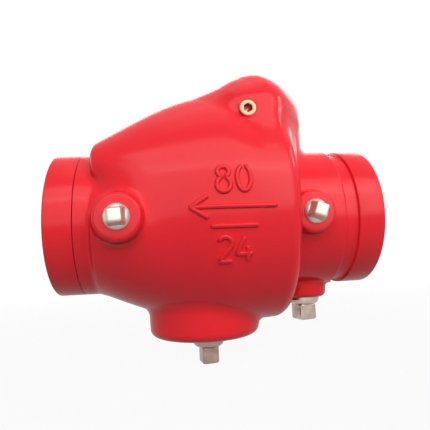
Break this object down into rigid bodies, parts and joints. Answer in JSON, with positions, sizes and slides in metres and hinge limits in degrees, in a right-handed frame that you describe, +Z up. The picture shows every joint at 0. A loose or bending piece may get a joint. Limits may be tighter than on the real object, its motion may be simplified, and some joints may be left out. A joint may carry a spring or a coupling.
{
  "type": "swing non-return valve",
  "caption": "Grooved-end swing non-return valve: cast casing with a hinge hump, ported bosses with square-head plugs, and a sprung clapper that closes on a seat ring inside.",
  "frame": {"origin": "middle of the inlet face, on the pipe axis", "axes": "+X along the pipe axis, out of the inlet, so flow runs along -X; +Z up, towards the hinge hump; the gauge ports face -Y"},
  "size_m": [0.196, 0.1318, 0.1887],
  "materials": {
    "casing_enamel": "glossy red enamel over ductile iron",
    "clapper_iron": "coated ductile iron",
    "seat_bronze": "machined bronze",
    "facing_rubber": "moulded rubber",
    "plug_zinc": "bright zinc plate",
    "shaft_steel": "stainless steel"
  },
  "bodies": {
    "casing": {"body": "casing_enamel", "seat_ring": "seat_bronze", "seat_oring": "facing_rubber", "hinge_shaft": "shaft_steel", "hinge_bush_front": "seat_bronze", "hinge_bush_rear": "seat_bronze", "shaft_spacer_front": "shaft_steel", "shaft_spacer_rear": "shaft_steel", "shaft_plug_front": "plug_zinc", "shaft_plug_rear": "plug_zinc", "outlet_gauge_plug": "plug_zinc", "inlet_gauge_plug": "plug_zinc", "drain_plug": "plug_zinc", "inlet_drain_plug": "plug_zinc"},
    "clapper_set": {"clapper": "clapper_iron", "clapper_seal": "facing_rubber", "seal_retainer": "shaft_steel", "retainer_bolt": "plug_zinc", "bolt_washer": "shaft_steel", "clapper_spring": "shaft_steel"}
  },
  "joints": [
    {"name": "clapper_swing", "type": "hinge", "parent": "casing", "child": "clapper_set", "pos_m": [-0.08, 0, 0.0613], "axis": [0, 1, 0], "range_deg": [0, 76], "stiffness_Nm_per_rad": 0.15, "springref_deg": -34.38, "deforming": ["clapper_spring"]}
  ]
}
